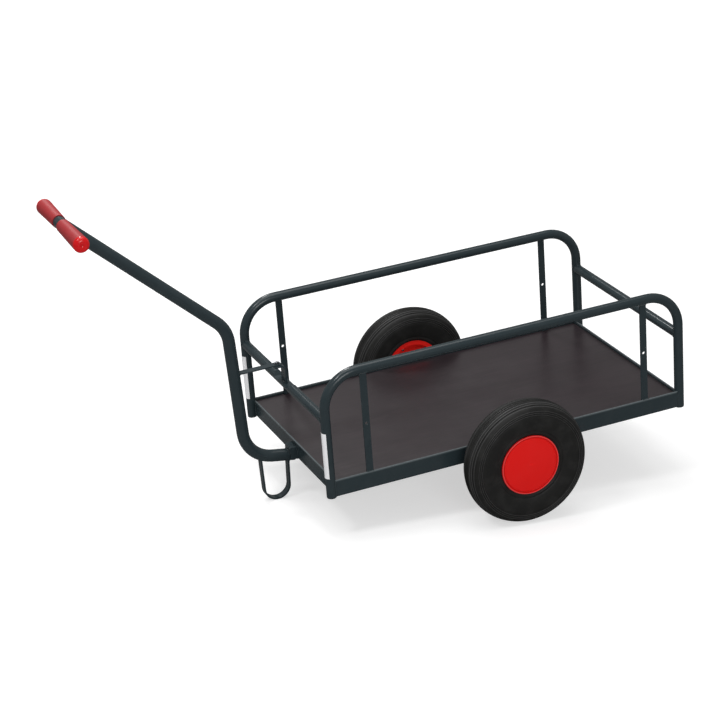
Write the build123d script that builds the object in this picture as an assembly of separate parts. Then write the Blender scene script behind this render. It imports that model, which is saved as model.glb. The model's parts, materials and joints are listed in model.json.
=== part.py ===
"""Two-wheeled hand cart: a boarded platform between two tubular hoops, towed by a cranked drawbar.

Everything is drawn level in the platform's own frame: x forward to the drawbar, y to the left,
z up from the rim of the platform. At the end the cart is tipped onto its parking stand.
"""
import os
from math import asin, atan2, cos, degrees, hypot, radians, sin

from build123d import *

# Side hoops: one bent tube on each side, whose legs are the corner posts
hoop_length = 1252.0        # between the axes of the front and rear posts
hoop_spacing = 694.0        # between the left and right hoops
hoop_diameter = 32.0
hoop_wall = 2.0
hoop_bend_radius = 115.0
hoop_rise = 350.0           # axis of the top rail above the rim
upright_setback = 133.0     # uprights inside the posts' axes
upright_width = 23.0
upright_thickness = 5.0
upright_hole = 10.0
upright_hole_height = 166.0
front_rail_height = 206.0   # axes of the cross rails above the rim
rear_rail_height = 200.0
saddle_length = 110.0       # flat pressed into the front cross rail for the brace
saddle_slope = 18.0
saddle_depth = 14.0

# Platform frame of folded steel, butted between the corner posts
frame_height = 58.0
frame_wall = 4.0
frame_lip = 25.0
fold_radius = 5.0           # outside of the fold between web and lip
side_rail_inset = 4.6       # outer face inside the outermost line of the hoop tubes
end_rail_setback = 9.0      # outer face behind the axes of the posts
floor_recess = 10.0
floor_thickness = 12.0
floor_gap = 1.5
ledge_width = 20.0
ledge_wall = 3.0
bearer_width = 40.0
bearer_height = 28.0
bearer_wall = 3.0
bearer_setback = 421.0      # bearers inside the posts' axes

# Reflective strips on the front posts
strip_bottom = 11.0
strip_top = 166.0
strip_thickness = 0.6
strip_half_angle = 62.0

# Drawbar: one cranked tube with two bends
drawbar_diameter = 40.0
drawbar_offset = 10.0       # its plane to the left of the middle
drawbar_wall = 2.5
drawbar_bend_radius = 110.0
drawbar_drop = 53.9         # axis below the rim where it meets the end rail
run_length = 164.0
run_rise = 29.7
riser_lean = 20.8
riser_height = 455.3
boom_reach = 484.1
boom_rise = 457.8
socket_depth = 24.0
socket_left = 32.0          # sides of the block from the drawbar's axis
socket_right = 14.0
socket_top = 15.0
socket_bottom = 57.0

# Handle across the drawbar's end
handle_diameter = 38.0
handle_wall = 2.5
handle_left = 218.0         # from the drawbar's axis to each end
handle_right = 192.0
collar_width = 44.0
grip_inner_diameter = 43.0
grip_outer_diameter = 50.0
grip_round = 13.0
grip_cap_length = 16.0
grip_dimple = 7.0
dimple_depth = 2.5

# Brace from the riser back to the front cross rail
brace_width = 25.0
brace_thickness = 4.0
brace_height = 273.7
brace_end = 12.0            # behind the bolt
bracket_width = 38.0
bracket_thickness = 5.0
bracket_reach = 36.0
bracket_bend = 11.0         # inner radius of the fold
bolt_diameter = 8.0
bolt_head_across = 13.0
bolt_head_height = 5.3
bolt_setback = 21.5         # bolt ahead of the front posts' axes

# Parking stand: a flat bar bent into a loop
stand_width = 25.0
stand_thickness = 6.0
stand_loop_radius = 43.5
stand_splay = 4.0
stand_middle = 71.5         # middle of the loop ahead of the end rail
stand_drop = 148.0          # centre of the round end below the rim

# Axle
axle_diameter = 20.0
axle_drop = 54.2
axle_setback = 1.5          # axle behind the middle of the hoops
axle_plate_width = 90.0
axle_plate_thickness = 8.0
axle_plate_below = 24.0
axle_plate_round = 20.0
axle_end = 8.0              # axle past the hub, under the cover
spacer_diameter = 32.0
wheel_gap = 35.1            # between the side rail and the tyre

# Wheels
tyre_diameter = 413.0
tyre_width = 99.0
tyre_wall = 8.0
tread_width = 80.0
tread_drop = 10.5           # from the crown down to the edges of the tread
rib_count = 5
shoulder_drop = 22.0
shoulder_inset = 2.0        # inside the widest line
bulge_drop = 41.5           # upper edge of the widest part below the crown
bulge_height = 15.0
bead_width = 16.0
rim_diameter = 200.0
rim_width = 78.0
rim_wall = 3.0
rim_well_diameter = 176.0
disc_offset = 8.0
hub_diameter = 46.0
hub_length = 60.0
cover_diameter = 201.0
cover_wall = 2.5
cover_lip = 5.0             # width of the rolled lip
cover_groove = 3.0          # floor between the lip and the disc
cover_step = 2.5            # disc's edge above the groove
cover_dome = 5.0

# Clearances
seat = 0.2                  # between pieces that are welded or pressed together on a curve
running_fit = 0.05          # radial, hub on axle
side_play = 0.5             # between hub and spacer
overrun = 5.0               # cutting tools past the faces they cut

post_x = hoop_length / 2
post_y = hoop_spacing / 2
hoop_radius = hoop_diameter / 2
side_face = post_y + hoop_radius - side_rail_inset
end_face = post_x - end_rail_setback
side_inner = side_face - frame_wall
upright_x = post_x - upright_setback
bearer_x = post_x - bearer_setback
end_inner = end_face - frame_wall
floor_top = -floor_recess
floor_bottom = floor_top - floor_thickness
drawbar_radius = drawbar_diameter / 2
handle_radius = handle_diameter / 2
tyre_radius = tyre_diameter / 2
wheel_y = side_face + wheel_gap + tyre_width / 2
axle_x = -axle_setback
axle_z = -axle_drop

nodes = {}


def block(x_range, y_range, z_range):
    """Box between two corners, each range in either order."""
    size = [abs(high - low) for low, high in (x_range, y_range, z_range)]
    middle = [(high + low) / 2 for low, high in (x_range, y_range, z_range)]
    return Pos(*middle) * Box(*size)


def bar_along_y(radius, y_range, x=0.0, z=0.0):
    """Round bar along y."""
    low, high = sorted(y_range)
    return Pos(x, (low + high) / 2, z) * Rot(90, 0, 0) * Cylinder(radius, high - low)


def upright_cylinder(radius, x, y, z_range):
    """Round bar along z."""
    low, high = sorted(z_range)
    return Pos(x, y, (low + high) / 2) * Cylinder(radius, high - low)


def swept_tube(path, radius, wall):
    """Tube of one wall thickness along a path."""
    start = Plane(origin=path @ 0, z_dir=path % 0)
    outer = sweep(start * Circle(radius), path=path)
    bore = sweep(start * Circle(radius - wall), path=path)
    return outer - bore


def post_clearance():
    """Cylinders round the four posts that cope whatever butts against them."""
    tool = None
    for x in (post_x, -post_x):
        for y in (post_y, -post_y):
            post = upright_cylinder(hoop_radius + seat, x, y, (-frame_height - overrun, hoop_rise))
            tool = post if tool is None else tool + post
    return tool


def make_hoops():
    """Two bent tubes that stand on the level of the frame's underside."""
    for side, y in (("left", post_y), ("right", -post_y)):
        path = FilletPolyline(
            (post_x, y, -frame_height),
            (post_x, y, hoop_rise),
            (-post_x, y, hoop_rise),
            (-post_x, y, -frame_height),
            radius=hoop_bend_radius,
        )
        nodes[f"hoop_{side}"] = swept_tube(path, hoop_radius, hoop_wall)


def make_uprights():
    """Drilled flat bars between each side rail and the top rail of its hoop."""
    y_outer = side_inner
    for end, x in (("front", upright_x), ("rear", -upright_x)):
        for side, sign in (("left", 1), ("right", -1)):
            low = x - upright_width / 2
            bar = block((low, low + upright_width), (sign * y_outer, sign * (y_outer - upright_thickness)),
                        (floor_bottom, hoop_rise))
            rail = Pos(0, sign * post_y, hoop_rise) * Rot(0, 90, 0) * Cylinder(hoop_radius + seat, hoop_length)
            hole = bar_along_y(upright_hole / 2, (sign * (y_outer + overrun), sign * (y_outer - hoop_radius)),
                               x, upright_hole_height)
            nodes[f"upright_{end}_{side}"] = bar - rail - hole


def make_cross_rails():
    """Tubes that join the hoops; the front one is pressed flat in the middle for the brace."""
    for end, x, z in (("front", post_x, front_rail_height), ("rear", -post_x, rear_rail_height)):
        outer = bar_along_y(hoop_radius, (-post_y, post_y), x, z)
        bore = bar_along_y(hoop_radius - hoop_wall, (-post_y, post_y), x, z)
        if end == "front":
            outer -= saddle_tool(x, z + hoop_radius - saddle_depth)
            bore -= saddle_tool(x, z + hoop_radius - saddle_depth - hoop_wall)
        nodes[f"cross_rail_{end}"] = outer - bore - post_clearance()


def saddle_tool(x, flat_z):
    """Wedge-ended block that stands for the press above a flat."""
    half_flat = saddle_length / 2
    half_top = half_flat + saddle_slope
    profile = Plane.YZ * make_face(Polyline(
        (-half_flat, flat_z), (half_flat, flat_z), (half_top, flat_z + saddle_depth + overrun),
        (-half_top, flat_z + saddle_depth + overrun), close=True))
    return Pos(x, drawbar_offset, 0) * extrude(profile, amount=hoop_radius + overrun, both=True)


def make_frame():
    """Folded rails butted against the posts, with ledges and bearers under the floor."""
    posts = post_clearance()
    lip_top = -frame_height + frame_wall
    axle_slot = bar_along_y(axle_diameter / 2 + floor_gap, (-side_face - overrun, side_face + overrun),
                            axle_x, axle_z)
    slot_below = block((axle_x - axle_diameter / 2 - floor_gap, axle_x + axle_diameter / 2 + floor_gap),
                       (-side_face - overrun, side_face + overrun), (axle_z, -frame_height - overrun))
    for side, sign in (("left", 1), ("right", -1)):
        web = block((-post_x, post_x), (sign * side_face, sign * side_inner), (-frame_height, 0))
        lip = block((-end_face + frame_lip, end_face - frame_lip),
                    (sign * side_face, sign * (side_face - frame_lip)), (-frame_height, lip_top))
        rail = folded(web + lip, (0, sign * side_face, -frame_height), Axis.X)
        nodes[f"side_rail_{side}"] = rail - posts - axle_slot - slot_below
        nodes[f"floor_ledge_{side}"] = ledge(side_inner, end_inner).rotate(Axis.Z, 0 if sign > 0 else 180)
    for end, sign in (("front", 1), ("rear", -1)):
        web = block((sign * end_face, sign * end_inner), (-post_y, post_y), (-frame_height, 0))
        lip = block((sign * end_face, sign * (end_face - frame_lip)), (-side_inner, side_inner),
                    (-frame_height, lip_top))
        nodes[f"end_rail_{end}"] = folded(web + lip, (sign * end_face, 0, -frame_height), Axis.Y) - posts
        half = side_inner - ledge_width
        nodes[f"floor_ledge_{end}"] = ledge(end_inner, half).rotate(Axis.Z, -90 * sign)
    for place, x in (("front", bearer_x), ("rear", -bearer_x)):
        flange = block((x - bearer_width / 2, x + bearer_width / 2), (-side_inner + ledge_width,
                       side_inner - ledge_width), (floor_bottom, floor_bottom - bearer_wall))
        edge = x + bearer_width / 2
        web = block((edge - bearer_wall, edge), (-side_inner + ledge_width, side_inner - ledge_width),
                    (floor_bottom, floor_bottom - bearer_height))
        nodes[f"floor_bearer_{place}"] = flange + web


def folded(rail, corner, axis):
    """The rail with its lower outer edge rounded as a fold."""
    edge = rail.edges().filter_by(axis).sort_by_distance(corner)[0]
    return fillet(edge, fold_radius)


def ledge(face, half_length):
    """Angle along x, welded inside the rail whose inner face is at y = face."""
    shelf = block((-half_length, half_length), (face, face - ledge_width),
                  (floor_bottom, floor_bottom - ledge_wall))
    leg = block((-half_length, half_length), (face, face - ledge_wall),
                (floor_bottom, floor_bottom - ledge_width))
    posts = None
    for x in (post_x, -post_x):
        post = upright_cylinder(hoop_radius + seat, x, post_y, (-frame_height, 0))
        posts = post if posts is None else posts + post
    return shelf + leg - posts


def make_floor():
    """Board let into the frame, notched for the posts and the uprights."""
    half_x = end_inner - floor_gap
    half_y = side_inner - floor_gap
    board = block((-half_x, half_x), (-half_y, half_y), (floor_bottom, floor_top))
    for x in (post_x, -post_x):
        for y in (post_y, -post_y):
            board -= upright_cylinder(hoop_radius + floor_gap, x, y, (floor_bottom - overrun, overrun))
    notch = upright_width / 2 + floor_gap
    depth = side_inner - upright_thickness - floor_gap
    for x in (upright_x, -upright_x):
        for sign in (1, -1):
            board -= block((x - notch, x + notch), (sign * depth, sign * side_face),
                           (floor_bottom - overrun, overrun))
    nodes["floor_panel"] = board


def make_strips():
    """Thin reflective strips wrapped round the front of the front posts."""
    inner = hoop_radius + seat
    outer = inner + strip_thickness
    for side, y in (("left", post_y), ("right", -post_y)):
        arc_shares = (-1.0, 0.0, 1.0)
        points = []
        for radius in (inner, outer):
            points.append([(radius * cos(radians(share * strip_half_angle)),
                            radius * sin(radians(share * strip_half_angle))) for share in arc_shares])
        inside = ThreePointArc(*points[0])
        outside = ThreePointArc(*points[1])
        ends = [Line(inside @ 0, outside @ 0), Line(inside @ 1, outside @ 1)]
        face = make_face([inside, outside] + ends)
        nodes[f"reflective_strip_{side}"] = Pos(post_x, y, strip_bottom) * extrude(
            face, amount=strip_top - strip_bottom)


def drawbar_corners():
    """Start, two knees and the handle's axis, as (x, z)."""
    start = (end_face, -drawbar_drop)
    low_knee = (start[0] + run_length, start[1] + run_rise)
    high_knee = (low_knee[0] + riser_lean, low_knee[1] + riser_height)
    handle = (high_knee[0] + boom_reach, high_knee[1] + boom_rise)
    return start, low_knee, high_knee, handle


def drawbar_path():
    """Centre line with its two bends."""
    return FilletPolyline(*[(x, 0, z) for x, z in drawbar_corners()], radius=drawbar_bend_radius)


def make_drawbar():
    """Cranked tube from the end rail to the handle, with its socket."""
    start = drawbar_corners()[0]
    handle = drawbar_corners()[3]
    tube = swept_tube(drawbar_path(), drawbar_radius, drawbar_wall)
    behind = block((end_face + seat, end_face - drawbar_diameter), (-drawbar_diameter, drawbar_diameter),
                   (-drawbar_drop - drawbar_diameter, 0))
    crossing = bar_along_y(handle_radius + seat, (-handle_right, handle_left), *handle)
    nodes["drawbar"] = beside(tube - behind - crossing)
    slope = degrees(atan2(run_rise, run_length))
    bore = Pos(start[0], 0, start[1]) * Rot(0, 90 - slope, 0) * Cylinder(drawbar_radius + seat, run_length)
    box = block((end_face, end_face + socket_depth), (-socket_right, socket_left), (-socket_bottom, -socket_top))
    nodes["drawbar_socket"] = beside(box - bore)


def beside(shape):
    """A piece drawn in the middle, moved into the drawbar's plane."""
    return Pos(0, drawbar_offset, 0) * shape


def make_handle():
    """Tube across the drawbar's end with two sleeves and their end caps."""
    x, z = drawbar_corners()[3]
    ends = (handle_left - grip_cap_length, grip_cap_length - handle_right)
    tube = bar_along_y(handle_radius, ends, x, z)
    bore = bar_along_y(handle_radius - handle_wall, ends, x, z)
    nodes["handle_bar"] = beside(tube - bore)
    inner_r = grip_inner_diameter / 2
    outer_r = grip_outer_diameter / 2
    sleeve_r = handle_radius + seat
    near = collar_width / 2
    for side, turn, end in (("left", 0, handle_left), ("right", 180, handle_right)):
        tube_end = end - grip_cap_length
        sleeve = make_face(Polyline((sleeve_r, near), (inner_r, near), (outer_r, tube_end), (sleeve_r, tube_end),
                                    close=True))
        corner = (outer_r - grip_round, end - grip_round)
        round_middle = (corner[0] + grip_round * cos(radians(45)), corner[1] + grip_round * sin(radians(45)))
        dimple_floor = end - dimple_depth
        cap = make_face([
            Line((0, tube_end + seat), (outer_r, tube_end + seat)),
            Line((outer_r, tube_end + seat), (outer_r, corner[1])),
            ThreePointArc((outer_r, corner[1]), round_middle, (corner[0], end)),
            Line((corner[0], end), (grip_dimple, end)),
            dome_arc(grip_dimple, end, dimple_floor),
            Line((0, dimple_floor), (0, tube_end + seat)),
        ])
        place = Pos(x, 0, z) * Rot(0, 0, turn)
        nodes[f"grip_{side}"] = beside(place * revolve(sleeve, axis=Axis.Y))
        nodes[f"grip_cap_{side}"] = beside(place * revolve(cap, axis=Axis.Y))


def dome_arc(edge_radius, edge_y, top_y):
    """Arc from the edge of a dome or dimple to its middle, centred on the y axis."""
    rise = top_y - edge_y
    radius = (edge_radius ** 2 + rise ** 2) / (2 * abs(rise))
    half_angle = asin(edge_radius / radius) / 2
    halfway = (radius * sin(half_angle), top_y - (radius - radius * cos(half_angle)) * rise / abs(rise))
    return ThreePointArc((edge_radius, edge_y), halfway, (0, top_y))


def riser_axis_x(z):
    """The riser's axis at a height."""
    low_knee = drawbar_corners()[1]
    return low_knee[0] + (z - low_knee[1]) * riser_lean / riser_height


def make_brace():
    """Flat brace from the riser to a bent bracket on the front cross rail, with its bolt."""
    bottom = brace_height - brace_thickness / 2
    bolt_x = post_x + bolt_setback
    bar = block((bolt_x - brace_end, riser_axis_x(brace_height)), (-brace_width / 2, brace_width / 2),
                (bottom, bottom + brace_thickness))
    lean = degrees(atan2(riser_lean, riser_height))
    riser = (Pos(riser_axis_x(brace_height), 0, brace_height) * Rot(0, lean, 0)
             * Cylinder(drawbar_radius + seat, riser_height / 2))
    hole = upright_cylinder(bolt_diameter / 2 + running_fit, bolt_x, 0,
                            (bottom - bracket_thickness - overrun, bottom + brace_thickness + overrun))
    nodes["drawbar_brace"] = beside(bar - riser - hole)
    flat_z = front_rail_height + hoop_radius - saddle_depth
    web_x = post_x - bracket_thickness / 2
    flange_end = post_x + bracket_reach
    flange_z = bottom - bracket_thickness
    outline = Plane.XZ * make_face(Polyline(
        (web_x, flat_z), (web_x + bracket_thickness, flat_z), (web_x + bracket_thickness, flange_z),
        (flange_end, flange_z), (flange_end, bottom), (web_x, bottom), close=True))
    plate = extrude(outline, amount=bracket_width / 2, both=True)
    inner_corner = (web_x + bracket_thickness, 0, flange_z)
    outer_corner = (web_x, 0, bottom)
    for corner, radius in ((inner_corner, bracket_bend), (outer_corner, bracket_bend + bracket_thickness)):
        edge = plate.edges().filter_by(Axis.Y).sort_by_distance(corner)[0]
        plate = fillet(edge, radius)
    nodes["brace_bracket"] = beside(plate - hole)
    head_z = bottom + brace_thickness
    head = Pos(bolt_x, 0, head_z) * extrude(
        RegularPolygon(bolt_head_across / 2, 6, major_radius=False), amount=bolt_head_height)
    nut = Pos(bolt_x, 0, flange_z - bolt_head_height) * extrude(
        RegularPolygon(bolt_head_across / 2, 6, major_radius=False), amount=bolt_head_height)
    shank = upright_cylinder(bolt_diameter / 2, bolt_x, 0, (flange_z - bolt_head_height, head_z))
    nodes["brace_bolt"] = beside(head + nut + shank)


def stand_loop():
    """Centre of the stand's round end, as (x, z), and its outer radius."""
    return end_face + stand_middle, -stand_drop, stand_loop_radius + stand_thickness / 2


def make_stand():
    """Flat bar bent into a loop and welded under the drawbar."""
    x, z, outer = stand_loop()
    inner = outer - stand_thickness
    leg = drawbar_corners()[1][1] - z
    faces = []
    for radius in (outer, inner):
        front = (x + radius, z)
        rear = (x - radius, z)
        front_top = (x + radius + stand_splay, z + leg)
        rear_top = (x - radius - stand_splay, z + leg)
        outline = [
            Line(front_top, front),
            ThreePointArc(front, (x, z - radius), rear),
            Line(rear, rear_top),
            Line(rear_top, front_top),
        ]
        faces.append(make_face(Plane.XZ * Wire(outline)))
    loop = extrude(faces[0], amount=stand_width / 2, both=True) - extrude(
        faces[1], amount=stand_width / 2 + overrun, both=True)
    path = drawbar_path()
    plane = Plane(origin=path @ 0, z_dir=path % 0)
    envelope = sweep(plane * Circle(drawbar_radius + seat), path=path)
    nodes["parking_stand"] = beside((loop - envelope).solids().sort_by(Axis.Z)[0])


def make_axle():
    """Round axle through two plates on the side rails, with a spacer tube to each wheel."""
    hub_half = hub_length / 2
    end = wheel_y + hub_half + axle_end
    nodes["axle"] = bar_along_y(axle_diameter / 2, (-end, end), axle_x, axle_z)
    plate_top = floor_bottom - ledge_width
    plate_bottom = axle_z - axle_plate_below
    for side, sign in (("left", 1), ("right", -1)):
        inner = sign * (side_face - frame_lip - axle_plate_thickness)
        plate = block((axle_x - axle_plate_width / 2, axle_x + axle_plate_width / 2),
                      (sign * (side_face - frame_lip), inner), (plate_bottom, plate_top))
        corners = plate.edges().filter_by(Axis.Y).group_by(Axis.Z)[0]
        plate = fillet(corners, axle_plate_round)
        bore = bar_along_y(axle_diameter / 2 + seat, (inner - sign * overrun, sign * side_face), axle_x, axle_z)
        nodes[f"axle_plate_{side}"] = plate - bore
        near = sign * (side_face + seat)
        far = sign * (wheel_y - hub_half - side_play)
        tube = bar_along_y(spacer_diameter / 2, (near, far), axle_x, axle_z)
        tube -= bar_along_y(axle_diameter / 2 + seat, (near, far), axle_x, axle_z)
        nodes[f"axle_spacer_{side}"] = tube


def make_wheels():
    """Ribbed pneumatic tyre on a pressed rim, with hub tube and outer cover, on each side."""
    for side, sign in (("left", 1), ("right", -1)):
        place = Pos(axle_x, sign * wheel_y, axle_z) * Rot(0, 0, 0 if sign > 0 else 180)
        nodes[f"tyre_{side}"] = place * revolve(tyre_section(), axis=Axis.Y)
        nodes[f"rim_{side}"] = place * revolve(rim_section(), axis=Axis.Y)
        nodes[f"hub_{side}"] = place * revolve(hub_section(), axis=Axis.Y)
        nodes[f"hub_cover_{side}"] = place * revolve(cover_section(), axis=Axis.Y)


def tyre_section():
    """Half-plane section of a balloon tyre, x as radius and y as width, its ribs as flat lands."""
    half = tyre_width / 2
    rib = tread_width / rib_count
    bulge_top = tyre_radius - bulge_drop
    bulge_bottom = bulge_top - bulge_height
    bead_in = rim_well_diameter / 2 + seat
    bead_out = rim_diameter / 2 + seat
    flange = rim_width / 2 - rim_wall - seat
    tread = []
    for index in range(rib_count + 1):
        y = index * rib - tread_width / 2
        edge_share = (abs(y) - rib / 2) / (tread_width / 2 - rib / 2)
        tread.append((tyre_radius - tread_drop * edge_share ** 2, y))
    side = [
        (tyre_radius - shoulder_drop, half - shoulder_inset),
        (bulge_top, half), (bulge_bottom, half), (bead_out, flange), (bead_in, flange),
        (bead_in, flange - bead_width), (bulge_bottom, half - tyre_wall),
        (tyre_radius - tyre_wall, half / 2),
    ]
    mirrored = [(radius, -y) for radius, y in reversed(side)]
    return make_face(Polyline(*(tread + side + mirrored), close=True))


def rim_section():
    """Half-plane section of the rim: two flanges, the well and the dished disc."""
    flange = rim_diameter / 2
    well = rim_well_diameter / 2
    half = rim_width / 2
    under = well - rim_wall
    hub = hub_diameter / 2 + seat
    disc = disc_offset
    return make_face(Polyline(
        (flange, half), (flange, half - rim_wall), (well, half - rim_wall), (well, rim_wall - half),
        (flange, rim_wall - half), (flange, -half), (under, -half), (under, disc - rim_wall / 2),
        (hub + rim_wall, disc - rim_wall / 2), (hub + rim_wall, -disc), (hub, -disc), (hub, disc + rim_wall / 2),
        (under, disc + rim_wall / 2), (under, half), close=True))


def hub_section():
    """Half-plane section of the hub tube."""
    bore = axle_diameter / 2 + running_fit
    half = hub_length / 2
    return make_face(Polyline((bore, -half), (hub_diameter / 2, -half), (hub_diameter / 2, half), (bore, half),
                              close=True))


def cover_section():
    """Half-plane section of the hub cover: rolled lip, groove and a domed disc, plain inside."""
    edge = cover_diameter / 2
    ring = edge - cover_lip
    groove = ring - cover_groove
    disc = groove - cover_step
    back = rim_width / 2 + seat
    floor = back + cover_wall
    disc_edge = floor + cover_step
    top = disc_edge + cover_dome
    return make_face([
        Line((0, top - cover_wall), (0, top)),
        dome_arc(disc, disc_edge, top),
        Line((disc, disc_edge), (groove, floor)),
        Line((groove, floor), (ring, floor)),
        ThreePointArc((ring, floor), (edge - cover_lip / 2, floor + cover_lip / 2), (edge, floor)),
        Line((edge, floor), (edge, back)),
        Line((edge, back), (disc, back)),
        Line((disc, back), (disc - cover_step, floor)),
        Line((disc - cover_step, floor), (0, top - cover_wall)),
    ])


def parked_place():
    """Rotation onto the stand and the tyres, then the origin on the floor under the middle."""
    x, z, outer = stand_loop()
    run, rise = x - axle_x, z - axle_z
    pitch = degrees(atan2(rise, run) + asin((tyre_radius - outer) / hypot(run, rise)))
    tip = Rot(0, pitch, 0)
    box = Compound([tip * node for node in nodes.values()]).bounding_box()
    centre = (box.min.X + box.max.X) / 2
    return Pos(-centre, 0, -box.min.Z) * tip, pitch


make_hoops()
make_uprights()
make_cross_rails()
make_frame()
make_floor()
make_strips()
make_drawbar()
make_handle()
make_brace()
make_stand()
make_axle()
make_wheels()

os.makedirs("parts", exist_ok=True)
park, pitch = parked_place()
for name, shape in nodes.items():
    export_step(park * shape, f"parts/{name}.step")

print("pitch", round(pitch, 4))
places = {
    "axle centre": (axle_x, 0, axle_z),
    "wheel left": (axle_x, wheel_y, axle_z),
    "floor centre": (0, 0, floor_top),
    "hole front left": (upright_x, side_inner, upright_hole_height),
    "hole rear left": (-upright_x, side_inner, upright_hole_height),
    "handle": (drawbar_corners()[3][0], drawbar_offset, drawbar_corners()[3][1]),
    "stand foot": (stand_loop()[0], drawbar_offset, stand_loop()[1] - stand_loop()[2]),
}
for label, place in places.items():
    spot = (park * Pos(*place)).position
    print(label, round(spot.X, 3), round(spot.Y, 3), round(spot.Z, 3))
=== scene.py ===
import json
from math import cos, exp, pi, radians, sin

import bpy
from bpy.props import FloatProperty, FloatVectorProperty, IntProperty, PointerProperty
from mathutils import Matrix, Vector
from mathutils.bvhtree import BVHTree


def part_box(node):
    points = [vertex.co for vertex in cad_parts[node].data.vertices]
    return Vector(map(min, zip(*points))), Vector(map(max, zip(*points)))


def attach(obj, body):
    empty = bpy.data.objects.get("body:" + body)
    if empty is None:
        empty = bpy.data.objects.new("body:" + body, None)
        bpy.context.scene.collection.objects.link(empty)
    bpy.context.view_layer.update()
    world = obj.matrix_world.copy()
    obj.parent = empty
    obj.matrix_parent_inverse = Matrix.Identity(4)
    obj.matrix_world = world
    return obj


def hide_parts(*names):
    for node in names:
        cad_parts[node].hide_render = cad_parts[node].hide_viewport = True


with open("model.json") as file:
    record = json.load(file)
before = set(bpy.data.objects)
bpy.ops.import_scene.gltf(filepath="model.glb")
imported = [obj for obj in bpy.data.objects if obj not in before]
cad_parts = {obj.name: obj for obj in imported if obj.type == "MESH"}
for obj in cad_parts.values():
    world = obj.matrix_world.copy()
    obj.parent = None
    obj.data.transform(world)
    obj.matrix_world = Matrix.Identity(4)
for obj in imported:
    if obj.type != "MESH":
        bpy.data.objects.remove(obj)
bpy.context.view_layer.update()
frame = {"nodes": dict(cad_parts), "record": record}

bl_info = {
    "name": "Hand cart finish",
    "version": (1, 0, 0),
    "blender": (4, 5, 0),
    "location": "View3D > Sidebar > Hand cart",
    "description": "Dresses the hand cart's frame with tyres, welds, finishes and a studio",
    "category": "Object",
}

SIDES = (("left", 1), ("right", -1))
ENDS = (("front", 1), ("rear", -1))


# Places read from the frame

def deck_matrix():
    """The deck's own frame: on the middle of the floor, z square to it, x to the drawbar."""
    mounts = frame["record"]["mounts"]
    floor = next(mount for mount in mounts if mount["name"] == "floor_top")
    up = Vector(floor["axis"]).normalized()
    side = Vector((0, 1, 0))
    ahead = side.cross(up)
    turn = Matrix((ahead, side, up)).transposed().to_4x4()
    return Matrix.Translation(Vector(floor["pos_m"])) @ turn


DECK = deck_matrix()


def deck_points(node):
    """A CAD node's vertices in the deck's frame."""
    back = DECK.inverted()
    return [back @ vertex.co for vertex in frame["nodes"][node].data.vertices]


def deck_box(node):
    """Lowest and highest corner of a CAD node in the deck's frame."""
    points = deck_points(node)
    low = Vector([min(point[axis] for point in points) for axis in range(3)])
    high = Vector([max(point[axis] for point in points) for axis in range(3)])
    return low, high


def deck_surface(node):
    """A CAD node's surface in the deck's frame, to lay seams on."""
    faces = [tuple(face.vertices) for face in frame["nodes"][node].data.polygons]
    return BVHTree.FromPolygons(deck_points(node), faces)


def box_middle(node):
    """Middle of a CAD node's box."""
    low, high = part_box(node)
    return (Vector(low) + Vector(high)) / 2


def half_height(node):
    """Half the height of a CAD node's box, the radius of a round one."""
    low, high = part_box(node)
    return (high[2] - low[2]) / 2


def outer(low, high, sign):
    """Whichever value lies outwards on the side or end of that sign."""
    return high if sign > 0 else low


# Sizes and colours that a user would change

def linear(channel):
    """One sRGB channel of 0 to 255 as a linear value."""
    share = channel / 255
    return share / 12.92 if share <= 0.04045 else ((share + 0.055) / 1.055) ** 2.4


def paint(name, description, value):
    """A colour setting from sRGB values of 0 to 255."""
    return FloatVectorProperty(name=name, description=description, subtype="COLOR", size=3,
                               min=0, max=1, default=[linear(channel) for channel in value])


def length(name, description, value):
    """A length setting in metres."""
    return FloatProperty(name=name, description=description, default=value, min=0,
                         unit="LENGTH", precision=5)


class CartColours(bpy.types.PropertyGroup):
    """Colours of the cart's finishes."""
    powder: paint("Powder coat", "Anthracite powder coat on all welded steel", (42, 53, 57))
    # Folded edge: a painted highlight, the powder coat made lighter along the rails' upper folds
    edge: paint("Folded edge", "Powder coat in the light along the rails' upper folds",
                (100, 108, 111))
    board: paint("Floor board", "Film face of the floor board", (39, 29, 33))
    rubber: paint("Rubber", "Tyre rubber", (28, 28, 27))
    wheel: paint("Cover paint", "Paint of the hub covers", (234, 22, 19))
    # Rim paint: lighter than the covers' paint though both are one red, painted light that lifts
    # the far rim out of its shade
    rim: paint("Rim paint", "Paint of the rims", (248, 38, 32))
    sleeve: paint("Grip sleeve", "Soft plastic of the grips", (166, 36, 41))
    cap: paint("Grip cap", "Glossy plastic of the grips' end caps", (210, 14, 20))
    film: paint("Reflective film", "Film round the front posts", (250, 250, 252))
    zinc: paint("Zinc", "Plated fasteners, hubs, axle and valve caps", (112, 115, 119))
    plug: paint("Plug", "Black plastic of the plugs and valve stems", (28, 29, 30))
    # Worn rubber: a painted highlight, lighter rings along the edges of the tyres' ribs and ridges
    rib_highlight: paint("Worn rubber", "Rubbed edges of the tyres' ribs and ridges", (76, 76, 76))
    ground: paint("Ground", "Floor and backdrop", (205, 205, 205))


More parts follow.
